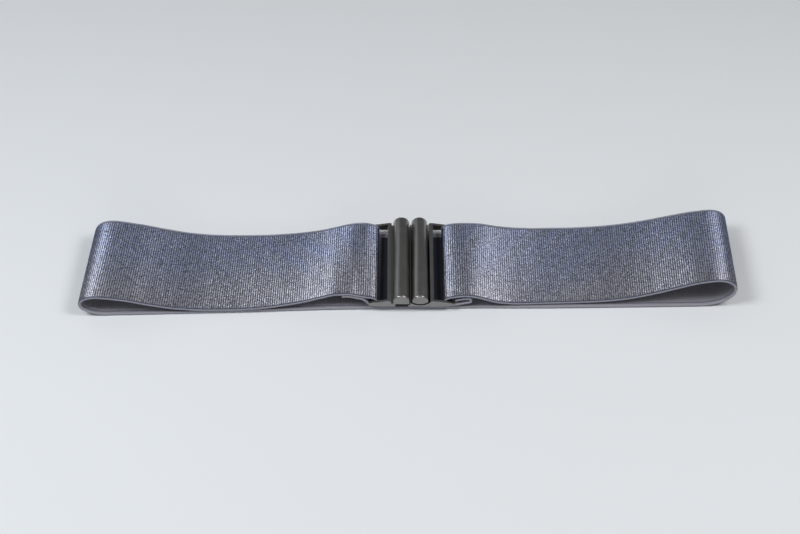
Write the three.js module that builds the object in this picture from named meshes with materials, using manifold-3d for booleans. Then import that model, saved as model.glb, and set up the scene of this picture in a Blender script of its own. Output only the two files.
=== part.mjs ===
// Elastic stretch belt, buckled into a loop and lying flat. Millimetres, +Z up.
// X runs along the belt, Y across it. The origin is on the table, under the middle of the belt.

import * as THREE from 'three';
import { mergeVertices } from 'three/addons/utils/BufferGeometryUtils.js';
import Module from 'manifold-3d';

const wasm = await Module();
wasm.setup();

// Elastic band
const beltLength = 370.8;       // over both folds, as it lies
const bandWidth = 60;
const bandThickness = 1.7;
const layerGap = 0.2;           // air left between layers that touch
const edgeBevel = 0.35;         // worn corner of the woven edges
const leftFoldHeight = 17.2;
const rightFoldHeight = 20.9;
const leftHemLength = 16.5;     // from the strap bar outwards
const rightHemLength = 13;
const rollLayers = 3;           // layers in the right hem's end: hem, hollow and raw end
const hemTuck = 7;              // raw end turned back inside the right hem
const tuckDip = 0.9;            // how far the raw end droops into the hollow

// Clasp, with heights counted from the underside of its frames
const claspClearance = 0.3;     // between pieces that are only hooked or slipped together
const claspTurn = THREE.MathUtils.degToRad(-1.3);
const strapBarWidth = 2.8;
const strapBarHeight = 2;
const strapBarUnderside = 0.6;
const strapBarSlack = 1.05;     // room between the strap bar and the band round it
const railThickness = 1.5;
const railHeight = 4.25;        // beside the face bars
const railEndHeight = 2.6;      // at the strap bar
const slotWidth = 7.3;          // clear opening between strap bar and inner strip
const stripWidth = 2.2;
const grooveWidth = 1.05;       // dark groove between inner strip and face bar
const faceBarWidth = 9.4;
const faceBarHeight = 6.8;
const faceBarOverhang = 0.6;    // past the side rails at each end
const faceBarEndRound = 0.9;
const faceBarUnderside = 2;
const faceBarGap = 1.1;         // between the two face bars
const channelWall = 1.3;        // the left face bar is open underneath
const channelEndWall = 2.4;
const lensSag = 1.8;            // the right face bar is rounded underneath
const cradleClearance = 1;
const cradleFoot = 1.05;        // how far the cradle reaches under the left face bar
const cradleFootHeight = 1.3;
const hookWidth = 44;           // along the bars
const hookThickness = 1.2;
const hookHeight = 4.2;
const postDiameter = 3.2;
const postSpacing = 36;
const cornerBreak = 0.4;        // blunted corners of the castings
const cutPast = 1;              // how far a cut runs past the face that it opens
const weldDistance = 1e-5;

// Heights and places that follow from the sizes above
const halfLength = beltLength / 2;
const touchHeight = 2 * bandThickness + layerGap;
const wrapRadius = strapBarHeight / 2 + strapBarSlack + bandThickness;
const wrapHeight = bandThickness + claspClearance + wrapRadius;
const claspBase = wrapHeight - strapBarUnderside - strapBarHeight / 2 - layerGap;
const barCentre = (faceBarGap + faceBarWidth) / 2;
const grooveStart = faceBarGap / 2 + faceBarWidth;
const stripStart = grooveStart + grooveWidth;
const slotStart = stripStart + stripWidth;
const strapBarStart = slotStart + slotWidth;
const frameEnd = strapBarStart + strapBarWidth;
const wrapCentre = strapBarStart + strapBarWidth / 2;
const railInside = bandWidth / 2 + claspClearance;
const railOutside = railInside + railThickness;

// Top layer, from the strap bar (at 0) to the crest of the fold (at 1). front and back are the heights
// of the two edges above the lower layer, as shares of the fold's, and side is the drift along Y as a
// share of the band's width.
const leftTopRows = [
  { at: 0.06, front: 0.61, back: 0.43, side: 0 },
  { at: 0.12, front: 0.68, back: 0.32, side: -0.003 },
  { at: 0.19, front: 0.48, back: 0.15, side: -0.007 },
  { at: 0.26, front: 0.28, back: 0.06, side: -0.011 },
  { at: 0.335, front: 0.15, back: 0.015, side: -0.015 },
  { at: 0.41, front: 0.052, back: 0, side: -0.02 },
  { at: 0.5, front: 0, back: 0.015, side: -0.023 },
  { at: 0.6, front: 0.015, back: 0.066, side: -0.025 },
  { at: 0.7, front: 0.118, back: 0.214, side: -0.026 },
  { at: 0.8, front: 0.362, back: 0.487, side: -0.026 },
  { at: 0.9, front: 0.672, back: 0.797, side: -0.026 },
  { at: 1, front: 0.83, back: 1, side: -0.026 },
];
const rightTopRows = [
  { at: 0.06, front: 0.41, back: 0.347, side: 0 },
  { at: 0.09, front: 0.416, back: 0.341, side: 0 },
  { at: 0.13, front: 0.254, back: 0.312, side: 0 },
  { at: 0.19, front: 0.092, back: 0.208, side: 0.001 },
  { at: 0.26, front: 0.023, back: 0.127, side: 0.001 },
  { at: 0.35, front: 0.006, back: 0.072, side: 0.001 },
  { at: 0.45, front: 0.017, back: 0.07, side: 0 },
  { at: 0.55, front: 0.052, back: 0.11, side: -0.002 },
  { at: 0.65, front: 0.15, back: 0.208, side: -0.005 },
  { at: 0.75, front: 0.37, back: 0.387, side: -0.01 },
  { at: 0.85, front: 0.67, back: 0.63, side: -0.017 },
  { at: 0.93, front: 0.907, back: 0.81, side: -0.023 },
  { at: 1, front: 1, back: 0.893, side: -0.026 },
];

// The band leaves the clasp at the clasp's own turn, and loses it between these shares of the top layer.
const turnFades = { from: 0.05, to: 0.4 };

// Where each fold turns over, at the band's two edges. crest, tip and lift (where the band leaves the
// table) are shares of the half length, and tipUp and crestUp are shares of the fold's height.
const leftFoldRows = [
  { edge: 'front', crest: 0.951, tip: 1, lift: 0.92, tipUp: 0.496, crestUp: 0.863 },
  { edge: 'back', crest: 0.932, tip: 0.989, lift: 0.912, tipUp: 0.466, crestUp: 1 },
];
const rightFoldRows = [
  { edge: 'front', crest: 0.916, tip: 0.977, lift: 0.87, tipUp: 0.598, crestUp: 1 },
  { edge: 'back', crest: 0.945, tip: 1, lift: 0.893, tipUp: 0.526, crestUp: 0.911 },
];
const foldOf = (height, [front, back]) => ({ height, front, back });
const leftFold = foldOf(leftFoldHeight, leftFoldRows);
const rightFold = foldOf(rightFoldHeight, rightFoldRows);

// Lower layer, from the left lift (at 0) to the right lift (at 1): it bows back a little in the middle.
const lowerRows = [
  { at: 0, side: -0.026 },
  { at: 0.22, side: -0.013 },
  { at: 0.4, side: 0.003 },
  { at: 0.62, side: -0.007 },
  { at: 0.76, side: -0.022 },
  { at: 1, side: -0.026 },
];

// Reads a column of a table between its rows, without overshooting them.
function smooth(rows, column, at) {
  const last = rows.length - 1;
  let row = 0;
  while (row < last - 1 && at > rows[row + 1].at) row += 1;
  const slope = (k) => (rows[k + 1][column] - rows[k][column]) / (rows[k + 1].at - rows[k].at);
  const tangent = (k) => {
    if (k === 0) return slope(0);
    if (k === last) return 0;
    const before = slope(k - 1);
    const after = slope(k);
    return before * after > 0 ? (2 * before * after) / (before + after) : 0;
  };
  const span = rows[row + 1].at - rows[row].at;
  const t = (at - rows[row].at) / span;
  const t2 = t * t;
  const t3 = t2 * t;
  return (2 * t3 - 3 * t2 + 1) * rows[row][column] + (t3 - 2 * t2 + t) * span * tangent(row)
    + (3 * t2 - 2 * t3) * rows[row + 1][column] + (t3 - t2) * span * tangent(row + 1);
}

// One station of the band: the outer face at its front and back edge. turn follows the clasp's.
function station(front, back, side, turn = 0) {
  const drift = side * bandWidth;
  const place = (point, y) => {
    const edge = new THREE.Vector3(point.x, y + drift, point.z);
    return edge.applyAxisAngle(new THREE.Vector3(0, 0, 1), turn);
  };
  return { front: place(front, -bandWidth / 2), back: place(back, bandWidth / 2) };
}

// Top layer of one side, from the strap bar outwards. sign is -1 on the left, 1 on the right.
function topLayer(rows, fold, sign, steps = 48) {
  const wrapTop = (wrapHeight + wrapRadius - touchHeight) / (fold.height - touchHeight);
  const table = [{ at: 0, front: wrapTop, back: wrapTop, side: 0 }, ...rows];
  const reach = (edge) => fold[edge].crest * halfLength - wrapCentre;
  const heightAt = (edge, at) => touchHeight + smooth(table, edge, at) * (fold.height - touchHeight);
  const edgeAt = (edge, at) => ({ x: sign * (wrapCentre + at * reach(edge)), z: heightAt(edge, at) });
  const pointAt = (at) => {
    const turn = claspTurn * (1 - THREE.MathUtils.smoothstep(at, turnFades.from, turnFades.to));
    return station(edgeAt('front', at), edgeAt('back', at), smooth(table, 'side', at), turn);
  };
  const stations = [];
  for (let k = 0; k < steps; k += 1) stations.push(pointAt(k / steps));
  return { stations, reach, heightAt };
}

// The turn of one fold, from its crest over the tip down to the table: two quarter ellipses.
function foldTurn(fold, sign, side, steps = 12) {
  const pointAt = (edge, angle) => {
    const shape = fold[edge];
    const tip = shape.tip * halfLength;
    const tipHeight = shape.tipUp * fold.height;
    const upper = angle > 0;
    const depth = tip - (upper ? shape.crest : shape.lift) * halfLength;
    const rise = upper ? shape.crestUp * fold.height - tipHeight : tipHeight;
    return { x: sign * (tip - depth * (1 - Math.cos(angle))), z: tipHeight + rise * Math.sin(angle) };
  };
  const stations = [];
  for (let k = 0; k <= 2 * steps; k += 1) {
    const angle = (Math.PI / 2) * (1 - k / steps);
    stations.push(station(pointAt('front', angle), pointAt('back', angle), side));
  }
  return stations;
}

// Lower layer, flat on the table, between the left lift and the right one.
function lowerLayer(steps = 36) {
  const stations = [];
  for (let k = 1; k < steps; k += 1) {
    const at = k / steps;
    const x = (edge) => halfLength * THREE.MathUtils.lerp(-leftFold[edge].lift, rightFold[edge].lift, at);
    stations.push(station({ x: x('front'), z: 0 }, { x: x('back'), z: 0 }, smooth(lowerRows, 'side', at)));
  }
  return stations;
}

// The band round one strap bar, from above it to below it.
function barWrap(sign, steps = 14) {
  const stations = [];
  for (let k = 0; k < steps; k += 1) {
    const angle = Math.PI * (k / steps);
    const point = {
      x: sign * (wrapCentre - wrapRadius * Math.sin(angle)),
      z: wrapHeight + wrapRadius * Math.cos(angle),
    };
    stations.push(station(point, point, 0, claspTurn));
  }
  return stations;
}

// Heights under the top layer of one side. under is the ceiling that the layer makes, and climb is the
// hem's way up to it from below the strap bar, with room left for so many layers.
function hemHeights(top, climbLength, layers) {
  const start = wrapHeight - wrapRadius;
  const under = (edge, out) => top.heightAt(edge, out / top.reach(edge)) - bandThickness - layerGap;
  const climb = (edge, out) => {
    const seat = Math.max(start, under(edge, out) - layers * bandThickness);
    return THREE.MathUtils.lerp(start, seat, THREE.MathUtils.smoothstep(out, 0, climbLength));
  };
  return { under, climb };
}

function hemStation(sign, out, heightOf) {
  const x = sign * (wrapCentre + out);
  return station({ x, z: heightOf('front') }, { x, z: heightOf('back') }, 0, claspTurn);
}

// The left hem lies close under the top layer, as a wedge.
function leftHem(top, steps = 10) {
  const { climb } = hemHeights(top, leftHemLength, 1);
  const stations = [];
  for (let k = 0; k <= steps; k += 1) {
    const out = leftHemLength * (k / steps);
    stations.push(hemStation(-1, out, (edge) => climb(edge, out)));
  }
  return stations;
}

// The right hem ends in a roll: the raw end turns up and comes back inside it.
function rightHem(top, steps = 10, tuckSteps = 4) {
  const straight = rightHemLength - 2 * bandThickness;
  const rollHeight = rollLayers * bandThickness;
  const { under, climb } = hemHeights(top, rightHemLength + rollHeight, rollLayers);
  const stations = [];
  for (let k = 0; k <= steps; k += 1) {
    const out = straight * (k / steps);
    stations.push(hemStation(1, out, (edge) => climb(edge, out)));
  }
  for (let k = 1; k < steps; k += 1) {
    const angle = Math.PI * (k / steps);
    const heightOf = (edge) => {
      const low = climb(edge, straight);
      const high = under(edge, straight);
      return (low + high) / 2 - ((high - low) / 2) * Math.cos(angle);
    };
    stations.push(hemStation(1, straight + (rollHeight / 2) * Math.sin(angle), heightOf));
  }
  for (let k = 0; k <= tuckSteps; k += 1) {
    const out = straight - hemTuck * (k / tuckSteps);
    const droop = tuckDip * (k / tuckSteps);
    const heightOf = (edge) => Math.min(under(edge, straight), under(edge, out)) - droop;
    stations.push(hemStation(1, out, heightOf));
  }
  return stations;
}

// Sweeps the band's bevelled section along its stations.
function bandGeometry(stations) {
  const across = edgeBevel / bandWidth;
  const corners = [
    [across, 0], [1 - across, 0], [1, edgeBevel], [1, bandThickness - edgeBevel],
    [1 - across, bandThickness], [across, bandThickness], [0, bandThickness - edgeBevel], [0, edgeBevel],
  ];
  const inwards = (edge, k) => {
    const from = stations[Math.max(k - 1, 0)][edge];
    const to = stations[Math.min(k + 1, stations.length - 1)][edge];
    return new THREE.Vector3(from.z - to.z, 0, to.x - from.x).normalize();
  };
  const positions = [];
  stations.forEach((place, k) => {
    const front = inwards('front', k);
    const back = inwards('back', k);
    for (const [share, depth] of corners) {
      const point = place.front.clone().lerp(place.back, share);
      point.addScaledVector(front.clone().lerp(back, share).normalize(), depth);
      positions.push(point.x, point.y, point.z);
    }
  });
  const count = corners.length;
  const indices = [];
  for (let k = 0; k < stations.length - 1; k += 1) {
    for (let c = 0; c < count; c += 1) {
      const a = k * count + c;
      const b = k * count + ((c + 1) % count);
      indices.push(a, b, a + count, b, b + count, a + count);
    }
  }
  const end = (stations.length - 1) * count;
  for (let c = 1; c < count - 1; c += 1) {
    indices.push(0, c + 1, c);
    indices.push(end, end + c, end + c + 1);
  }
  const geometry = new THREE.BufferGeometry();
  geometry.setAttribute('position', new THREE.Float32BufferAttribute(positions, 3));
  geometry.setIndex(indices);
  return geometry;
}

function elasticBand() {
  const left = topLayer(leftTopRows, leftFold, -1);
  const right = topLayer(rightTopRows, rightFold, 1);
  const foldSide = lowerRows[0].side;
  const stations = [
    ...leftHem(left).reverse(),
    ...barWrap(-1).reverse(),
    ...left.stations.slice(1),
    ...foldTurn(leftFold, -1, foldSide),
    ...lowerLayer(),
    ...foldTurn(rightFold, 1, foldSide).reverse(),
    ...right.stations.slice(1).reverse(),
    ...barWrap(1),
    ...rightHem(right),
  ];
  return bandGeometry(stations);
}

// Solids that are joined and cut
function solid(geometry) {
  geometry.deleteAttribute('normal');
  geometry.deleteAttribute('uv');
  const merged = mergeVertices(geometry, weldDistance);
  return new wasm.Manifold(new wasm.Mesh({
    numProp: 3,
    vertProperties: merged.attributes.position.array,
    triVerts: merged.index.array,
  }));
}

function geometryOf(manifold) {
  const mesh = manifold.getMesh();
  const geometry = new THREE.BufferGeometry();
  geometry.setAttribute('position', new THREE.BufferAttribute(mesh.vertProperties, 3));
  geometry.setIndex(new THREE.BufferAttribute(mesh.triVerts, 1));
  return geometry;
}

function shapeOf(points) {
  return new THREE.Shape(points.map(([x, z]) => new THREE.Vector2(x, z)));
}

// A profile in X and Z, run along Y from one place to another.
function alongY(shape, from, to, endRound = 0) {
  const geometry = new THREE.ExtrudeGeometry(shape, {
    depth: to - from - 2 * endRound,
    curveSegments: 12,
    bevelEnabled: endRound > 0,
    bevelThickness: endRound,
    bevelSize: endRound,
    bevelOffset: -endRound,
    bevelSegments: 3,
  });
  geometry.rotateX(Math.PI / 2);
  geometry.translate(0, to - endRound, 0);
  return solid(geometry);
}

function boxBetween(low, high) {
  const size = high.map((value, axis) => value - low[axis]);
  const geometry = new THREE.BoxGeometry(...size);
  geometry.translate(...high.map((value, axis) => (value + low[axis]) / 2));
  return solid(geometry);
}

// Side rails, strap bar and inner strip of one half. inner is where its rails end under the face bars.
function claspFrame(sign, inner) {
  const rail = shapeOf([
    [sign * inner, 0], [sign * (frameEnd - strapBarWidth), 0], [sign * frameEnd, strapBarUnderside],
    [sign * frameEnd, railEndHeight - cornerBreak], [sign * (frameEnd - cornerBreak), railEndHeight],
    [sign * slotStart, railHeight], [sign * stripStart, railHeight],
    [sign * stripStart, faceBarUnderside + claspClearance],
    [sign * inner, faceBarUnderside + claspClearance],
  ]);
  const corner = strapBarHeight / 4;
  const strapBarTop = strapBarUnderside + strapBarHeight;
  const strapBar = shapeOf([
    [sign * (strapBarStart + corner), strapBarUnderside], [sign * (frameEnd - corner), strapBarUnderside],
    [sign * frameEnd, strapBarUnderside + corner], [sign * frameEnd, strapBarTop - corner],
    [sign * (frameEnd - corner), strapBarTop], [sign * (strapBarStart + corner), strapBarTop],
    [sign * strapBarStart, strapBarTop - corner], [sign * strapBarStart, strapBarUnderside + corner],
  ]);
  const strip = shapeOf([
    [sign * stripStart, 0], [sign * slotStart, 0], [sign * slotStart, railHeight - cornerBreak],
    [sign * (slotStart - cornerBreak), railHeight], [sign * stripStart, railHeight],
  ]);
  return alongY(rail, -railOutside, -railInside)
    .add(alongY(rail, railInside, railOutside))
    .add(alongY(strapBar, -railOutside, railOutside))
    .add(alongY(strip, -railOutside, railOutside));
}

function leftClaspHalf() {
  const domeRadius = faceBarWidth / 2;
  const spring = faceBarUnderside + faceBarHeight - domeRadius;
  const barOutline = (width, base) => {
    const shape = new THREE.Shape();
    shape.moveTo(-barCentre - width / 2, base);
    shape.lineTo(-barCentre + width / 2, base);
    shape.lineTo(-barCentre + width / 2, spring);
    shape.absarc(-barCentre, spring, width / 2, 0, Math.PI, false);
    return shape;
  };
  const barEnd = railOutside + faceBarOverhang;
  const channelEnd = barEnd - channelEndWall;
  const channel = barOutline(faceBarWidth - 2 * channelWall, faceBarUnderside - cutPast);
  const floorInner = grooveStart - channelWall;
  const floor = boxBetween(
    [-slotStart, -railOutside, 0],
    [-floorInner, railOutside, faceBarUnderside + claspClearance],
  );
  return claspFrame(-1, floorInner)
    .add(floor)
    .add(alongY(barOutline(faceBarWidth, faceBarUnderside), -barEnd, barEnd, faceBarEndRound))
    .subtract(alongY(channel, -channelEnd, channelEnd));
}

// The underside arc of the right face bar, which the cradle follows with a clearance.
const lensRadius = ((faceBarWidth / 2) ** 2 + lensSag ** 2) / (2 * lensSag);
const lensCentre = faceBarUnderside + lensRadius;
const lipHalf = faceBarGap / 2 - claspClearance;

function cradleCurve(from, to, steps = 12) {
  const points = [];
  for (let k = 0; k <= steps; k += 1) {
    const x = THREE.MathUtils.lerp(from, to, k / steps);
    const rise = Math.sqrt((lensRadius + cradleClearance) ** 2 - (x - barCentre) ** 2);
    points.push([x, lensCentre - rise]);
  }
  return points;
}

// Clears the rails' inner ends out of the cradle, above its hollow.
function cradleGroove() {
  const top = railHeight + cutPast;
  const outline = [...cradleCurve(lipHalf, stripStart), [stripStart, top], [lipHalf, top]];
  return alongY(shapeOf(outline), -railOutside - cutPast, railOutside + cutPast);
}

function postCylinder(diameter, low, high, y) {
  const geometry = new THREE.CylinderGeometry(diameter / 2, diameter / 2, high - low, 16);
  geometry.rotateX(Math.PI / 2);
  geometry.translate(barCentre, y, (low + high) / 2);
  return solid(geometry);
}

function rightClaspHalf() {
  const hollow = cradleCurve(stripStart, lipHalf);
  const lipHeight = hollow[hollow.length - 1][1];
  const cradle = shapeOf([
    [-lipHalf - cradleFoot, 0], [slotStart, 0], [slotStart, faceBarUnderside],
    ...hollow,
    [-lipHalf, lipHeight], [-lipHalf, cradleFootHeight], [-lipHalf - cradleFoot, cradleFootHeight],
  ]);
  const hookInside = -faceBarGap / 2 - channelWall - claspClearance;
  const hookOutside = hookInside - hookThickness;
  const hook = shapeOf([
    [0, 0], [0, hookThickness], [hookInside, hookThickness],
    [hookInside, hookHeight], [hookOutside, hookHeight], [hookOutside, 0],
  ]);
  let half = claspFrame(1, barCentre)
    .add(alongY(cradle, -railOutside, railOutside))
    .add(alongY(hook, -hookWidth / 2, hookWidth / 2))
    .subtract(cradleGroove());
  for (const y of [-postSpacing / 2, postSpacing / 2]) {
    half = half.subtract(postCylinder(postDiameter + 2 * claspClearance, -cutPast, faceBarUnderside, y));
  }
  return half;
}

function rightFaceBar() {
  const spring = faceBarUnderside + lensSag;
  const sweep = Math.asin(faceBarWidth / 2 / lensRadius);
  const steps = 10;
  const points = [];
  for (let k = 0; k < steps; k += 1) {
    const angle = THREE.MathUtils.lerp(-sweep, sweep, k / steps);
    points.push([barCentre + lensRadius * Math.sin(angle), lensCentre - lensRadius * Math.cos(angle)]);
  }
  for (let k = 0; k < 2 * steps; k += 1) {
    const angle = Math.PI * (k / (2 * steps));
    const rise = (faceBarHeight - lensSag) * Math.sin(angle);
    points.push([barCentre + (faceBarWidth / 2) * Math.cos(angle), spring + rise]);
  }
  const barEnd = railOutside + faceBarOverhang;
  let bar = alongY(shapeOf(points), -barEnd, barEnd, faceBarEndRound);
  for (const y of [-postSpacing / 2, postSpacing / 2]) {
    bar = bar.add(postCylinder(postDiameter, 0, spring, y));
  }
  return bar;
}

// Finishes
const webbing = new THREE.MeshStandardMaterial({ color: 0x6b6d80, roughness: 0.5, metalness: 0 });
const gunmetal = new THREE.MeshStandardMaterial({ color: 0x4a4a4c, roughness: 0.22, metalness: 1 });

function named(name, geometry, material) {
  const mesh = new THREE.Mesh(geometry, material.clone());
  mesh.name = name;
  return mesh;
}

const clasp = new THREE.Group();
clasp.rotation.z = claspTurn;
clasp.position.z = claspBase;
clasp.add(named('left_clasp_half', geometryOf(leftClaspHalf()), gunmetal));
clasp.add(named('right_clasp_half', geometryOf(rightClaspHalf()), gunmetal));
clasp.add(named('right_face_bar', geometryOf(rightFaceBar()), gunmetal));

const belt = new THREE.Group();
belt.add(named('elastic_band', elasticBand(), webbing));
belt.add(clasp);

export default belt;
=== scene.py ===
# Elastic stretch belt, buckled into a loop and lying on a pale table.
import math

import bmesh
import bpy
from mathutils import Matrix, Vector


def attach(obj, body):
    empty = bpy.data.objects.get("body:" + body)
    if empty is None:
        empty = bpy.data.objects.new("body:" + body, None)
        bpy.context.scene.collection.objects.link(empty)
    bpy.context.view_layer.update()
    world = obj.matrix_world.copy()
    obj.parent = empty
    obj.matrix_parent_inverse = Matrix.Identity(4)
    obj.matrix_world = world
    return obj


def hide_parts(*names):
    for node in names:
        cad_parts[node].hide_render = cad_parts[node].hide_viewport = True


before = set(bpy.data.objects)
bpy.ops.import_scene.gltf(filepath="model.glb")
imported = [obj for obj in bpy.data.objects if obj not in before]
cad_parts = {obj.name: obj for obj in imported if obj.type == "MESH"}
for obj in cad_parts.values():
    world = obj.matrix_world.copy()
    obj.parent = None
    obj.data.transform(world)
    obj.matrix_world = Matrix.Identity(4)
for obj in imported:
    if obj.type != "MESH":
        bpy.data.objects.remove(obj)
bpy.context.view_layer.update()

print("frame loaded:", ", ".join(sorted(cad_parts)))

# Camera, at the photograph's angle: 45 degrees above the table, a little left of the middle
cameraSettings = {
    "place": Vector((-0.01804, -0.57133, 0.57502)),
    "target": Vector((-0.00596, 0.00357, 0.0)),
    "lens": 63.3,
    "sensor": 36.0,
    "clipStart": 0.01,
}


def addCamera(settings):
    data = bpy.data.cameras.new("camera")
    data.lens = settings["lens"]
    data.sensor_width = settings["sensor"]
    data.clip_start = settings["clipStart"]
    camera = bpy.data.objects.new("camera", data)
    bpy.context.scene.collection.objects.link(camera)
    camera.location = settings["place"]
    view = settings["target"] - settings["place"]
    camera.rotation_euler = view.to_track_quat("-Z", "Y").to_euler()
    bpy.context.scene.camera = camera


addCamera(cameraSettings)

# Table and soft studio light
studio = {
    "tableSize": 6.0,
    "tableColour": (0.72, 0.74, 0.765, 1),
    "tableDrop": 0.00015,
    "tableRoughness": 0.7,
    "tableGloss": 0.2,
    "worldColour": (0.95, 0.98, 1.0, 1),
    "worldStrength": 0.20,
    "lights": [
        # name, place, aim, size, power, colour
        ("upperLeft", (-0.58, -0.22, 0.80), (-0.02, 0, 0), (0.36, 0.36), 5.4, (0.95, 0.98, 1.0)),
        ("upperRight", (0.58, -0.22, 0.80), (0.02, 0, 0), (0.36, 0.36), 4.4, (1.0, 0.985, 0.97)),
        ("front", (-0.05, -1.60, 0.42), (0, 0, 0), (1.6, 0.4), 5.0, (1.0, 0.99, 0.98)),
        ("leftPanel", (-1.30, 0.35, 0.75), (0, 0, 0), (1.4, 1.0), 0.6, (0.97, 0.99, 1.0)),
        ("backPanel", (-1.00, 1.15, 0.75), (0, 0, 0), (1.2, 0.8), 1.2, (0.97, 0.99, 1.0)),
    ],
}


def addWorld(settings):
    bpy.context.scene.view_settings.view_transform = "Standard"
    world = bpy.data.worlds.new("studioWorld")
    world.use_nodes = True
    background = world.node_tree.nodes["Background"]
    background.inputs["Color"].default_value = settings["worldColour"]
    background.inputs["Strength"].default_value = settings["worldStrength"]
    bpy.context.scene.world = world


def addTable(settings):
    bm = bmesh.new()
    bmesh.ops.create_grid(bm, x_segments=1, y_segments=1, size=settings["tableSize"] / 2)
    mesh = bpy.data.meshes.new("table")
    bm.to_mesh(mesh)
    bm.free()
    table = bpy.data.objects.new("table", mesh)
    bpy.context.scene.collection.objects.link(table)
    table.location.z = -settings["tableDrop"]
    finish = bpy.data.materials.new("tableTop")
    finish.use_nodes = True
    shader = finish.node_tree.nodes["Principled BSDF"]
    shader.inputs["Base Color"].default_value = settings["tableColour"]
    shader.inputs["Roughness"].default_value = settings["tableRoughness"]
    shader.inputs["Specular IOR Level"].default_value = settings["tableGloss"]
    mesh.materials.append(finish)


def addLights(settings):
    for name, place, aim, size, power, colour in settings["lights"]:
        data = bpy.data.lights.new(name, "AREA")
        data.shape = "RECTANGLE"
        data.size, data.size_y = size
        data.energy = power
        data.color = colour
        light = bpy.data.objects.new(name, data)
        light.location = place
        light.rotation_euler = (Vector(aim) - Vector(place)).to_track_quat("-Z", "Y").to_euler()
        bpy.context.scene.collection.objects.link(light)


addWorld(studio)
addTable(studio)
addLights(studio)
print("camera, table and lights set")


# Small helpers for node materials
def newMaterial(name):
    material = bpy.data.materials.new(name)
    material.use_nodes = True
    tree = material.node_tree
    tree.nodes.clear()
    output = tree.nodes.new("ShaderNodeOutputMaterial")
    shader = tree.nodes.new("ShaderNodeBsdfPrincipled")
    tree.links.new(shader.outputs["BSDF"], output.inputs["Surface"])
    return material, tree, shader


def addNode(tree, kind, settings=None, **inputs):
    node = tree.nodes.new(kind)
    for name, value in (settings or {}).items():
        setattr(node, name, value)
    for name, value in inputs.items():
        plug(tree, value, node.inputs[name.replace("_", " ")])
    return node


def plug(tree, value, socket):
    if isinstance(value, bpy.types.NodeSocket):
        tree.links.new(value, socket)
    else:
        socket.default_value = value


def maths(tree, operation, *values):
    node = tree.nodes.new("ShaderNodeMath")
    node.operation = operation
    for k, value in enumerate(values):
        plug(tree, value, node.inputs[k])
    return node.outputs[0]


def remap(tree, value, fromLow, fromHigh, toLow, toHigh):
    node = tree.nodes.new("ShaderNodeMapRange")
    node.interpolation_type = "SMOOTHSTEP"
    for k, item in enumerate((value, fromLow, fromHigh, toLow, toHigh)):
        plug(tree, item, node.inputs[k])
    return node.outputs["Result"]


def shaded(colour, share):
    return tuple(part * share for part in colour[:3]) + (1,)


def mixColour(tree, share, first, second):
    node = tree.nodes.new("ShaderNodeMix")
    node.data_type = "RGBA"
    plug(tree, share, node.inputs["Factor"])
    # the colour sockets, which share their names with the number sockets
    plug(tree, first, node.inputs[6])
    plug(tree, second, node.inputs[7])
    return node.outputs[2]


# Elastic band: its way round the loop, with lengths in metres
band = {
    "halfLength": 0.1854,
    "width": 0.060,
    "thickness": 0.0017,
    "layerGap": 0.0002,
    "wrapCentre": 0.0219,
    "wrapHeight": 0.00575,
    "wrapRadius": 0.00375,
    "wrapEntry": math.radians(23),  # the top layer's slope where it meets the wrap
    "claspTurn": math.radians(-1.3),  # the band near the clasp lies a little askew
    "turnFades": (0.05, 0.4),
    "leftHem": 0.0165,
    "climbShare": 0.36,  # the part of the left hem that rises to the top layer
    "rightHem": 0.0142,
    "rollLayers": 2.15,  # the right hem's roll, in thicknesses
    "tuck": 0.008,
    "tuckDip": 0.0009,
    "ribPitch": 0.00125,
    "ribProfile": (-1.0, 0.3, 0.6, 0.3),  # one rib, from groove to groove
    "ribRelief": 0.00006,
    "innerRelief": 0.00006,
    "faceShares": (0.27, 0.5, 0.73),  # the rows of points between the selvedges
    "mergeDistance": 1e-7,
    "underMiddle": {"reach": 0.004, "height": 0.001},  # how near the clasp's middle and the table
}
touchHeight = 2 * band["thickness"] + band["layerGap"]
samplesPerRib = len(band["ribProfile"])

# The top layer, from a strap bar out to a fold: how far out, the heights of the front and back edge
# as shares of the fold's height, and a drift across the belt as a share of its width
columns = ("at", "front", "back", "side")
edges = columns[1:3]
leftTop = [
    (0.012, 0.455, 0.474, 0),
    (0.03, 0.495, 0.513, 0),
    (0.05, 0.55, 0.508, 0),
    (0.085, 0.645, 0.46, -0.001),
    (0.13, 0.635, 0.33, -0.003),
    (0.19, 0.475, 0.165, -0.007),
    (0.26, 0.28, 0.06, -0.011),
    (0.335, 0.15, 0.015, -0.015),
    (0.41, 0.052, 0, -0.02),
    (0.5, 0, 0.015, -0.023),
    (0.6, 0.015, 0.066, -0.025),
    (0.7, 0.118, 0.214, -0.026),
    (0.8, 0.362, 0.487, -0.026),
    (0.9, 0.672, 0.797, -0.026),
    (1, 0.83, 1, -0.026),
]
rightTop = [
    (0.012, 0.369, 0.369, 0),
    (0.03, 0.395, 0.39, 0),
    (0.055, 0.42, 0.40, 0),
    (0.075, 0.412, 0.399, 0),
    (0.10, 0.372, 0.388, 0),
    (0.13, 0.28, 0.358, 0),
    (0.19, 0.10, 0.235, 0.001),
    (0.26, 0.023, 0.135, 0.001),
    (0.35, 0.006, 0.072, 0.001),
    (0.45, 0.017, 0.07, 0),
    (0.55, 0.052, 0.11, -0.002),
    (0.65, 0.15, 0.208, -0.005),
    (0.75, 0.37, 0.387, -0.01),
    (0.85, 0.67, 0.63, -0.017),
    (0.93, 0.907, 0.81, -0.023),
    (1, 1, 0.893, -0.026),
]

# The bottom layer, from the left fold to the right one: how far along, and its drift
lowerSides = [(0, -0.026), (0.22, -0.013), (0.4, 0.003), (0.62, -0.007), (0.76, -0.022), (1, -0.026)]

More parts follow.
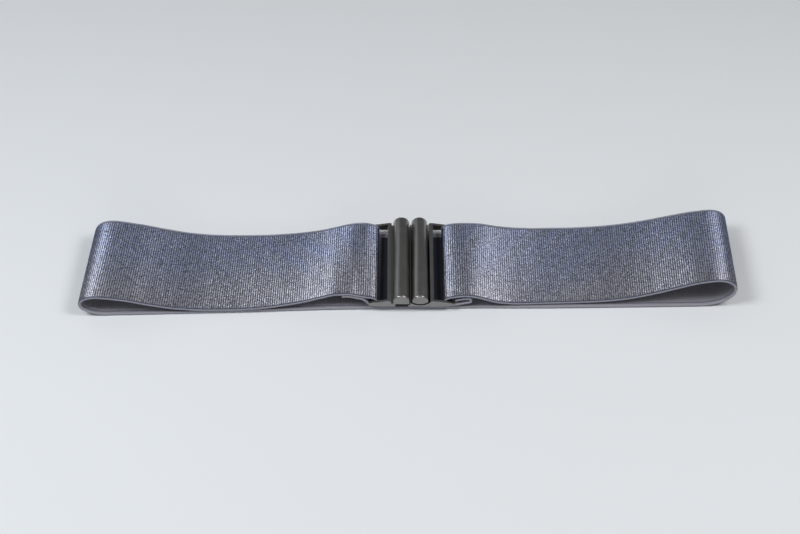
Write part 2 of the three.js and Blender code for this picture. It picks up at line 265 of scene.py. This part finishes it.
# The folds: where each edge leaves the top layer, turns and lifts off the table, as shares of half
# the length, and its heights as shares of the fold's height
leftFold = {
    "height": 0.0172,
    "front": {"crest": 0.951, "tip": 1, "lift": 0.92, "tipUp": 0.496, "crestUp": 0.863},
    "back": {"crest": 0.932, "tip": 0.989, "lift": 0.912, "tipUp": 0.466, "crestUp": 1},
}
rightFold = {
    "height": 0.0209,
    "front": {"crest": 0.916, "tip": 0.977, "lift": 0.87, "tipUp": 0.598, "crestUp": 1},
    "back": {"crest": 0.945, "tip": 1, "lift": 0.893, "tipUp": 0.526, "crestUp": 0.911},
}


# a smooth reading between the rows that never overshoots them
def readColumn(rows, column, at):
    last = len(rows) - 1
    row = 0
    while row < last - 1 and at > rows[row + 1][0]:
        row += 1

    def slope(k):
        return (rows[k + 1][column] - rows[k][column]) / (rows[k + 1][0] - rows[k][0])

    def tangent(k):
        if k == 0:
            return slope(0)
        if k == last:
            return 0
        before, after = slope(k - 1), slope(k)
        return 2 * before * after / (before + after) if before * after > 0 else 0

    span = rows[row + 1][0] - rows[row][0]
    t = (at - rows[row][0]) / span
    low = (2 * t**3 - 3 * t**2 + 1) * rows[row][column] + (t**3 - 2 * t**2 + t) * span * tangent(row)
    high = (3 * t**2 - 2 * t**3) * rows[row + 1][column] + (t**3 - t**2) * span * tangent(row + 1)
    return low + high


def mix(low, high, share):
    return low + (high - low) * share


def smoothStep(value, low, high):
    t = min(max((value - low) / (high - low), 0), 1)
    return t * t * (3 - 2 * t)


def station(front, back, side, turn=0.0):
    drift = side * band["width"]
    turned = Matrix.Rotation(turn, 3, "Z")
    return (
        turned @ Vector((front[0], -band["width"] / 2 + drift, front[1])),
        turned @ Vector((back[0], band["width"] / 2 + drift, back[1])),
    )


def topLayer(rows, fold, sign, steps=400):
    room = fold["height"] - touchHeight
    wrapTop = (band["wrapHeight"] + band["wrapRadius"] - touchHeight) / room
    table = [(0, wrapTop, wrapTop, 0)] + rows

    def reach(edge):
        return fold[edge]["crest"] * band["halfLength"] - band["wrapCentre"]

    def heightAt(edge, at):
        return touchHeight + readColumn(table, columns.index(edge), at) * room

    def pointAt(edge, at):
        return sign * (band["wrapCentre"] + at * reach(edge)), heightAt(edge, at)

    def stationAt(at):
        side = readColumn(table, columns.index("side"), at)
        turn = band["claspTurn"] * (1 - smoothStep(at, *band["turnFades"]))
        return station(pointAt("front", at), pointAt("back", at), side, turn)

    return [stationAt(k / steps) for k in range(steps)], reach, heightAt


def foldTurn(fold, sign, side, steps=60):
    def pointAt(edge, angle):
        shape = fold[edge]
        tip = shape["tip"] * band["halfLength"]
        tipHeight = shape["tipUp"] * fold["height"]
        upper = angle > 0
        depth = tip - shape["crest" if upper else "lift"] * band["halfLength"]
        rise = shape["crestUp"] * fold["height"] - tipHeight if upper else tipHeight
        return sign * (tip - depth * (1 - math.cos(angle))), tipHeight + rise * math.sin(angle)

    angles = [math.pi / 2 * (1 - k / steps) for k in range(2 * steps + 1)]
    return [station(pointAt("front", a), pointAt("back", a), side) for a in angles]


def lowerLayer(steps=300):
    stations = []
    for k in range(1, steps):
        at = k / steps
        lifts = [mix(-leftFold[edge]["lift"], rightFold[edge]["lift"], at) for edge in edges]
        front, back = [(band["halfLength"] * lift, 0) for lift in lifts]
        stations.append(station(front, back, readColumn(lowerSides, 1, at)))
    return stations


# round the strap bar: the upper quarter takes over the slope that the top layer arrives with
def barWrap(sign, steps=40):
    entry = band["wrapEntry"]
    stations = []
    for k in range(2 * steps):
        if k < steps:
            angle = mix(entry, math.pi / 2, k / steps)
            inward = (math.sin(angle) - math.sin(entry)) / (1 - math.sin(entry))
            rise = math.cos(angle) / math.cos(entry)
        else:
            inward, rise = math.sin(math.pi / 2 * k / steps), math.cos(math.pi / 2 * k / steps)
        x = sign * (band["wrapCentre"] - band["wrapRadius"] * inward)
        z = band["wrapHeight"] + band["wrapRadius"] * rise
        stations.append(station((x, z), (x, z), 0, band["claspTurn"]))
    return stations


# a hem's two heights: close under the top layer, and climbing from the strap bar to its seat there
def hemHeights(reach, heightAt, climbLength, layers):
    start = band["wrapHeight"] - band["wrapRadius"]

    def under(edge, out):
        return heightAt(edge, out / reach(edge)) - band["thickness"] - band["layerGap"]

    def climb(edge, out):
        seat = max(start, under(edge, out) - layers * band["thickness"])
        return mix(start, seat, smoothStep(out, 0, climbLength))

    return under, climb


def hemStation(sign, out, heightOf):
    x = sign * (band["wrapCentre"] + out)
    return station((x, heightOf("front")), (x, heightOf("back")), 0, band["claspTurn"])


def leftHemStations(reach, heightAt, steps=40):
    climb = hemHeights(reach, heightAt, band["leftHem"] * band["climbShare"], 1)[1]
    outs = [band["leftHem"] * k / steps for k in range(steps + 1)]
    return [hemStation(-1, out, lambda edge: climb(edge, out)) for out in outs]


# the right hem runs out, rolls over and tucks back under the top layer
def rightHemStations(reach, heightAt, steps=40, tuckSteps=16):
    straight = band["rightHem"] - 2 * band["thickness"]
    rollHeight = band["rollLayers"] * band["thickness"]
    under, climb = hemHeights(reach, heightAt, band["rightHem"] + rollHeight, band["rollLayers"])

    def outStation(k):
        out = straight * k / steps
        return hemStation(1, out, lambda edge: climb(edge, out))

    def rollStation(k):
        angle = math.pi * k / steps

        def turning(edge):
            low, high = climb(edge, straight), under(edge, straight)
            return (low + high) / 2 - (high - low) / 2 * math.cos(angle)

        return hemStation(1, straight + rollHeight / 2 * math.sin(angle), turning)

    def tuckStation(k):
        out = straight - band["tuck"] * k / tuckSteps
        droop = band["tuckDip"] * k / tuckSteps
        return hemStation(1, out, lambda edge: min(under(edge, straight), under(edge, out)) - droop)

    return (
        [outStation(k) for k in range(steps + 1)]
        + [rollStation(k) for k in range(1, steps)]
        + [tuckStation(k) for k in range(tuckSteps + 1)]
    )


def bandPath():
    left, leftReach, leftHeight = topLayer(leftTop, leftFold, -1)
    right, rightReach, rightHeight = topLayer(rightTop, rightFold, 1)
    foldSide = lowerSides[0][1]
    return (
        leftHemStations(leftReach, leftHeight)[::-1]
        + barWrap(-1)[::-1]
        + left[1:]
        + foldTurn(leftFold, -1, foldSide)
        + lowerLayer()
        + foldTurn(rightFold, 1, foldSide)[::-1]
        + right[1:][::-1]
        + barWrap(1)
        + rightHemStations(rightReach, rightHeight)
    )


# the same path with its stations one step apart, so that the ribs are even
def evenStations(path, step):
    middles = [(front + back) / 2 for front, back in path]
    lengths = [0.0]
    for before, after in zip(middles, middles[1:]):
        lengths.append(lengths[-1] + (after - before).length)
    count = round(lengths[-1] / step)
    stations, k = [], 0
    for n in range(count + 1):
        along = lengths[-1] * n / count
        while k < len(path) - 2 and lengths[k + 1] < along:
            k += 1
        share = (along - lengths[k]) / (lengths[k + 1] - lengths[k])
        stations.append([path[k][edge].lerp(path[k + 1][edge], share) for edge in (0, 1)])
    return stations, lengths[-1]


# The woven section, from the front edge over the outer face, round the back edge and back inside:
# distance across, depth from the outer face, and how much of the ribs' relief shows there
rimRows = [
    (0.00000, 0.00085, 0.0),
    (0.00006, 0.00050, 0.0),
    (0.00028, 0.00018, 0.0),
    (0.00065, 0.00002, 0.0),
    (0.00105, 0.00006, 0.1),
    (0.00140, 0.00024, 0.0),
    (0.00175, 0.00008, 0.6),
    (0.00230, 0.00000, 1.0),
]


def bandSection():
    width, thickness = band["width"], band["thickness"]
    middles = [(width * share, 0.0, 1.0) for share in band["faceShares"]]
    backRim = [(width - across, depth, rib) for across, depth, rib in reversed(rimRows)]
    face = rimRows + middles + backRim
    outer = [(across, depth, rib * band["ribRelief"]) for across, depth, rib in face]
    backwards = face[-2:0:-1]
    inner = [(across, thickness - depth, -rib * band["innerRelief"]) for across, depth, rib in backwards]
    return outer + inner


def distancesAround(section):
    around = [0.0]
    for k, here in enumerate(section):
        there = section[(k + 1) % len(section)]
        around.append(around[-1] + math.hypot(there[0] - here[0], there[1] - here[1]))
    return around


# the directions from the outer face into the band, at the front and back edge of one row
def inwardDirections(stations, row):
    before = stations[max(row - samplesPerRib, 0)]
    after = stations[min(row + samplesPerRib, len(stations) - 1)]
    runs = [after[edge] - before[edge] for edge in (0, 1)]
    return [Vector((-run.z, 0, run.x)).normalized() for run in runs]


# how far along the band its bottom layer passes under the middle of the clasp
def lengthUnderClasp(stations, length):
    zone = band["underMiddle"]
    rows = []
    for row, (front, back) in enumerate(stations):
        if abs(front.x) < zone["reach"] and front.z < zone["height"]:
            rows.append(row)
    return length * sum(rows) / len(rows) / (len(stations) - 1)


def buildBand():
    stations, length = evenStations(bandPath(), band["ribPitch"] / samplesPerRib)
    section = bandSection()
    around = distancesAround(section)
    count = len(section)
    bm = bmesh.new()
    uvLayer = bm.loops.layers.uv.new("bandUv")
    bmesh.ops.create_grid(bm, x_segments=count, y_segments=len(stations) - 1, size=1, calc_uvs=True)
    bm.verts.ensure_lookup_table()
    for row, (front, back) in enumerate(stations):
        inwards = inwardDirections(stations, row)
        rise = band["ribProfile"][row % samplesPerRib]
        for column in range(count + 1):
            across, depth, relief = section[column % count]
            share = across / band["width"]
            normal = inwards[0].lerp(inwards[1], share).normalized()
            vertex = bm.verts[row * (count + 1) + column]
            vertex.co = front.lerp(back, share) + normal * (depth - relief * rise)
    for face in bm.faces:
        face.smooth = True
        for loop in face.loops:
            uv = loop[uvLayer].uv
            column = round(uv.x * count)
            loop[uvLayer].uv = (uv.y * length, around[column])
    bmesh.ops.remove_doubles(bm, verts=bm.verts, dist=band["mergeDistance"])
    bmesh.ops.holes_fill(bm, edges=[edge for edge in bm.edges if edge.is_boundary])
    bmesh.ops.recalc_face_normals(bm, faces=bm.faces)
    mesh = bpy.data.meshes.new("bandMesh")
    bm.to_mesh(mesh)
    bm.free()
    piece = bpy.data.objects.new("band", mesh)
    bpy.context.scene.collection.objects.link(piece)
    print("band:", len(mesh.polygons), "faces,", round(length, 4), "m long")
    return piece, length, lengthUnderClasp(stations, length)


bandPiece, bandLength, underClasp = buildBand()

webbingFinish = {
    # the satin floats
    "dark": (0.075, 0.078, 0.105, 1),
    "lightFront": (0.74, 0.745, 0.84, 1),
    "lightBack": (0.62, 0.685, 0.94, 1),
    "tintPatch": 18.0,
    "tintRange": (0.55, 1.35),
    "strandShifts": (7.31, 3.77),  # so that no strand repeats the marks of the next
    "floatLength": 0.0010,
    "floatRange": (0.30, 0.70),
    "floatShade": 0.24,
    "floatLean": 0.07,
    "crownRange": (0.2, 0.48),
    # painted shade in the grooves between the ribs
    "paintedGrooveShade": 0.0,
    # painted shade on the sides of the folds, where the surface turns away from the top
    "foldRange": (0.30, 0.92),
    "paintedFoldShade": 0.30,
    # the selvedges
    "selvedge": (0.23, 0.24, 0.30, 1),
    "selvedgeWidth": 0.0010,
    "selvedgeFade": (0.0003, 0.0006),
    "selvedgeLine": (0.035, 0.037, 0.05, 1),
    "lineFade": (0.0001, 0.0005),
    # the inside
    "inner": (0.26, 0.255, 0.285, 1),
    "innerLine": (0.10, 0.105, 0.15, 1),
    "innerLineInset": 0.0019,
    # painted shade on the inside under the clasp, seen through the slots
    "underClasp": (0.028, 0.03, 0.042, 1),
    "paintedShadeHalfLength": (0.018, 0.022),
    "paintedShadeHalfWidth": (0.0255, 0.0275),
    # the gloss, narrow along the belt and wide across it
    "metal": 0.92,
    "roughness": 0.50,
    "anisotropic": 0.90,
    "glossTurn": 0.25,
    "grazingTint": (0.20, 0.21, 0.26, 1),
}


# each rib is two strands of short satin floats, each with a tone of its own, with painted shade in the
# grooves between the ribs
def satinFloats(tree, finish, along, across):
    ribs = maths(tree, "DIVIDE", along, band["ribPitch"])
    ribShare = maths(tree, "SUBTRACT", ribs, maths(tree, "FLOOR", ribs))
    strand = maths(tree, "FLOOR", maths(tree, "MULTIPLY", ribs, 2.0))
    place = addNode(
        tree,
        "ShaderNodeCombineXYZ",
        X=maths(tree, "MULTIPLY", strand, finish["strandShifts"][0]),
        Y=maths(tree, "DIVIDE", across, finish["floatLength"]),
        Z=maths(tree, "MULTIPLY", strand, finish["strandShifts"][1]),
    )
    floats = addNode(tree, "ShaderNodeTexNoise", Vector=place.outputs[0], Scale=1.0, Detail=2.0)
    tone = remap(tree, floats.outputs["Fac"], *finish["floatRange"], finish["floatShade"], 1.0)
    # painted shade, darkest in the groove between two ribs
    fromCrown = maths(tree, "ABSOLUTE", maths(tree, "SUBTRACT", ribShare, 0.5))
    crown = remap(tree, fromCrown, *finish["crownRange"], 1.0, finish["paintedGrooveShade"])
    return floats, maths(tree, "MULTIPLY", tone, crown)


# the ribbed outside: bluer toward the back edge and warmer toward the front, in soft patches
def ribbedColour(tree, finish, across, brightness, surface):
    place = addNode(tree, "ShaderNodeTexCoord").outputs["Object"]
    patches = addNode(tree, "ShaderNodeTexNoise", Vector=place, Scale=finish["tintPatch"], Detail=1.0)
    drift = maths(tree, "ADD", maths(tree, "DIVIDE", across, band["width"]), patches.outputs["Fac"])
    tint = remap(tree, drift, *finish["tintRange"], 0.0, 1.0)
    light = mixColour(tree, tint, finish["lightFront"], finish["lightBack"])
    colour = mixColour(tree, brightness, finish["dark"], light)
    # painted shade on the sides of the folds, where the ribs shade each other
    normal = addNode(tree, "ShaderNodeSeparateXYZ", Vector=surface)
    facingUp = remap(tree, normal.outputs["Z"], *finish["foldRange"], finish["paintedFoldShade"], 1.0)
    return mixColour(tree, facingUp, (0, 0, 0, 1), colour)


# plain selvedge along both edges, with a dark line where the ribs begin
def addSelvedges(tree, finish, across, colour):
    edgeGap = maths(tree, "MINIMUM", across, maths(tree, "SUBTRACT", band["width"], across))
    fromRibs = maths(tree, "SUBTRACT", edgeGap, finish["selvedgeWidth"])
    isRibbed = remap(tree, fromRibs, *finish["selvedgeFade"], 0.0, 1.0)
    isLine = remap(tree, maths(tree, "ABSOLUTE", fromRibs), *finish["lineFade"], 1.0, 0.0)
    colour = mixColour(tree, isRibbed, finish["selvedge"], colour)
    return mixColour(tree, isLine, colour, finish["selvedgeLine"]), isRibbed


# the plain inside, with painted shade under the clasp, where the slots are in deep shade
def insideColour(tree, finish, along, across, claspAlong):
    fromClasp = maths(tree, "ABSOLUTE", maths(tree, "SUBTRACT", along, claspAlong))
    halfwayBack = 1.5 * band["width"] + band["thickness"]
    fromMiddle = maths(tree, "ABSOLUTE", maths(tree, "SUBTRACT", across, halfwayBack))
    shadeAlong = remap(tree, fromClasp, *finish["paintedShadeHalfLength"], 1.0, 0.0)
    shadeAcross = remap(tree, fromMiddle, *finish["paintedShadeHalfWidth"], 1.0, 0.0)
    isPaintedShade = maths(tree, "MULTIPLY", shadeAlong, shadeAcross)
    # painted shade under the clasp, laid over the inside colour
    colour = mixColour(tree, isPaintedShade, finish["inner"], finish["underClasp"])
    fromLine = maths(tree, "SUBTRACT", band["width"] / 2 - finish["innerLineInset"], fromMiddle)
    isLine = remap(tree, maths(tree, "ABSOLUTE", fromLine), *finish["lineFade"], 1.0, 0.0)
    return mixColour(tree, isLine, colour, finish["innerLine"])


# each float of the outside leans a little along the belt
def floatNormal(tree, finish, floats, tangent, surface, isOuter):
    chance = addNode(tree, "ShaderNodeSeparateColor", Color=floats.outputs["Color"]).outputs["Green"]
    lean = remap(tree, chance, *finish["floatRange"], -finish["floatLean"], finish["floatLean"])
    push = addNode(tree, "ShaderNodeVectorMath", {"operation": "SCALE"}, Vector=tangent)
    plug(tree, maths(tree, "MULTIPLY", lean, isOuter), push.inputs["Scale"])
    leaning = addNode(tree, "ShaderNodeVectorMath", {"operation": "ADD"})
    plug(tree, surface, leaning.inputs[0])
    plug(tree, push.outputs[0], leaning.inputs[1])
    unit = addNode(tree, "ShaderNodeVectorMath", {"operation": "NORMALIZE"}, Vector=leaning.outputs[0])
    return unit.outputs[0]


def webbingMaterial(finish, claspAlong):
    material, tree, shader = newMaterial("ribbedWebbing")
    uvMap = addNode(tree, "ShaderNodeUVMap", {"uv_map": "bandUv"})
    parts = addNode(tree, "ShaderNodeSeparateXYZ", Vector=uvMap.outputs["UV"])
    along, across = parts.outputs["X"], parts.outputs["Y"]
    surface = addNode(tree, "ShaderNodeNewGeometry").outputs["Normal"]
    floats, brightness = satinFloats(tree, finish, along, across)
    ribbed = ribbedColour(tree, finish, across, brightness, surface)
    outerColour, isRibbed = addSelvedges(tree, finish, across, ribbed)
    innerColour = insideColour(tree, finish, along, across, claspAlong)
    isOuter = maths(tree, "LESS_THAN", across, band["width"] + band["thickness"] / 2)
    colour = mixColour(tree, isOuter, innerColour, outerColour)
    tree.links.new(colour, shader.inputs["Base Color"])
    metal = maths(tree, "MULTIPLY", maths(tree, "MULTIPLY", isOuter, isRibbed), finish["metal"])
    tree.links.new(metal, shader.inputs["Metallic"])
    shader.inputs["Specular Tint"].default_value = finish["grazingTint"]
    shader.inputs["Roughness"].default_value = finish["roughness"]
    shader.inputs["Anisotropic"].default_value = finish["anisotropic"]
    shader.inputs["Anisotropic Rotation"].default_value = finish["glossTurn"]
    tangentNode = addNode(tree, "ShaderNodeTangent", {"direction_type": "UV_MAP", "uv_map": "bandUv"})
    tangent = tangentNode.outputs[0]
    tree.links.new(tangent, shader.inputs["Tangent"])
    normal = floatNormal(tree, finish, floats, tangent, surface, isOuter)
    tree.links.new(normal, shader.inputs["Normal"])
    return material


bandPiece.data.materials.append(webbingMaterial(webbingFinish, underClasp))
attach(bandPiece, "root")
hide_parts("elastic_band")

# Stitching that closes the hems, seen as a row of short stitches across the belt
stitching = {
    "rows": [(-1, 0.0122), (1, 0.0112)],  # left or right, and how far out from the strap bar
    "length": 0.0024,
    "pitch": 0.0031,
    "width": 0.00045,
    "height": 0.00022,
    "margin": 0.002,
    "segments": 8,
    "thread": (0.30, 0.32, 0.41, 1),
    "strandScale": 3000.0,
    "strandShade": 0.6,
    "metal": 0.4,
    "roughness": 0.5,
}


# where one stitch lies: flat on the top layer, with its length across the belt
def stitchPlace(settings, share, here, beyond, sign):
    middle = here[0].lerp(here[1], share)
    across = (here[1] - here[0]).normalized()
    along = (beyond[0].lerp(beyond[1], share) - middle).normalized() * sign
    up = along.cross(across).normalized()
    turned = Matrix((along, across, up)).transposed().to_4x4()
    sizes = (settings["width"] / 2, settings["length"] / 2, settings["height"])
    return Matrix.Translation(middle) @ turned @ Matrix.Diagonal((*sizes, 1))


def buildStitching(settings):
    bm = bmesh.new()
    count = int((band["width"] - 2 * settings["margin"]) / settings["pitch"])
    segments = settings["segments"]
    for sign, out in settings["rows"]:
        rows, fold = (leftTop, leftFold) if sign < 0 else (rightTop, rightFold)
        stations, reach = topLayer(rows, fold, sign)[:2]
        row = round(out / reach("front") * len(stations))
        for k in range(count):
            share = (settings["margin"] + (k + 0.5) * settings["pitch"]) / band["width"]
            place = stitchPlace(settings, share, stations[row], stations[row + 1], sign)
            bmesh.ops.create_uvsphere(
                bm, u_segments=segments, v_segments=segments, radius=1, matrix=place
            )
    for face in bm.faces:
        face.smooth = True
    mesh = bpy.data.meshes.new("stitchingMesh")
    bm.to_mesh(mesh)
    bm.free()
    piece = bpy.data.objects.new("hemStitching", mesh)
    bpy.context.scene.collection.objects.link(piece)
    return piece


def threadMaterial(settings):
    material, tree, shader = newMaterial("stitchingThread")
    place = addNode(tree, "ShaderNodeTexCoord").outputs["Object"]
    scale = settings["strandScale"]
    strands = addNode(tree, "ShaderNodeTexNoise", Vector=place, Scale=scale, Detail=1.0)
    darker = shaded(settings["thread"], settings["strandShade"])
    colour = mixColour(tree, strands.outputs["Fac"], darker, settings["thread"])
    tree.links.new(colour, shader.inputs["Base Color"])
    shader.inputs["Metallic"].default_value = settings["metal"]
    shader.inputs["Roughness"].default_value = settings["roughness"]
    return material


stitches = buildStitching(stitching)
stitches.data.materials.append(threadMaterial(stitching))
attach(stitches, "root")
print("hems stitched")

# Clasp, with the edges of the cast parts softened
gunmetalFinish = {
    "colour": (0.277, 0.270, 0.263, 1),
    "roughness": 0.32,
    "cloudScale": 160.0,
    "cloudRange": (0.3, 0.7),
    "cloudShade": 0.93,
    "wearRange": (0.35, 0.75),
    "wear": (-0.02, 0.04),
    "grainScale": 2600.0,
    "grainStrength": 0.05,
    "grainDepth": 0.00001,
    "edgeSoftness": 0.00025,
    "edgeSegments": 3,
    "mergeDistance": 1e-6,
    "flatAngle": math.radians(1),
    "sharpAngle": math.radians(35),
}


def gunmetalMaterial(finish):
    material, tree, shader = newMaterial("gunmetal")
    place = addNode(tree, "ShaderNodeTexCoord").outputs["Object"]
    cloud = addNode(tree, "ShaderNodeTexNoise", Vector=place, Scale=finish["cloudScale"], Detail=2.0)
    grain = addNode(tree, "ShaderNodeTexNoise", Vector=place, Scale=finish["grainScale"], Detail=2.0)
    shade = remap(tree, cloud.outputs["Fac"], *finish["cloudRange"], 0.0, 1.0)
    darker = shaded(finish["colour"], finish["cloudShade"])
    tree.links.new(mixColour(tree, shade, darker, finish["colour"]), shader.inputs["Base Color"])
    smooth, worn = [finish["roughness"] + change for change in finish["wear"]]
    wear = remap(tree, cloud.outputs["Fac"], *finish["wearRange"], smooth, worn)
    tree.links.new(wear, shader.inputs["Roughness"])
    bump = addNode(
        tree,
        "ShaderNodeBump",
        Strength=finish["grainStrength"],
        Distance=finish["grainDepth"],
        Height=grain.outputs["Fac"],
    )
    tree.links.new(bump.outputs[0], shader.inputs["Normal"])
    shader.inputs["Metallic"].default_value = 1.0
    return material


def softenedCopy(name, finish, material):
    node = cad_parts[name]
    bm = bmesh.new()
    bm.from_mesh(node.data)
    bm.transform(node.matrix_world)
    bmesh.ops.remove_doubles(bm, verts=bm.verts, dist=finish["mergeDistance"])
    bmesh.ops.dissolve_limit(bm, angle_limit=finish["flatAngle"], verts=bm.verts, edges=bm.edges)
    manifold = [edge for edge in bm.edges if edge.is_manifold]
    sharp = [edge for edge in manifold if edge.calc_face_angle() > finish["sharpAngle"]]
    bmesh.ops.bevel(
        bm,
        geom=sharp,
        offset=finish["edgeSoftness"],
        segments=finish["edgeSegments"],
        profile=0.5,
        affect="EDGES",
        clamp_overlap=True,
        material=-1,
    )
    for face in bm.faces:
        face.smooth = True
    for edge in bm.edges:
        edge.smooth = not edge.is_manifold or edge.calc_face_angle() < finish["sharpAngle"]
    mesh = bpy.data.meshes.new(name + "Mesh")
    bm.to_mesh(mesh)
    bm.free()
    mesh.materials.append(material)
    piece = bpy.data.objects.new(name.replace("_", " ").title().replace(" ", ""), mesh)
    bpy.context.scene.collection.objects.link(piece)
    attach(piece, "root")
    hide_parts(name)
    print(name, "softened:", len(mesh.polygons), "faces")


gunmetal = gunmetalMaterial(gunmetalFinish)
for name in ("left_clasp_half", "right_clasp_half", "right_face_bar"):
    softenedCopy(name, gunmetalFinish, gunmetal)
print("clasp finished")

bpy.context.view_layer.update()
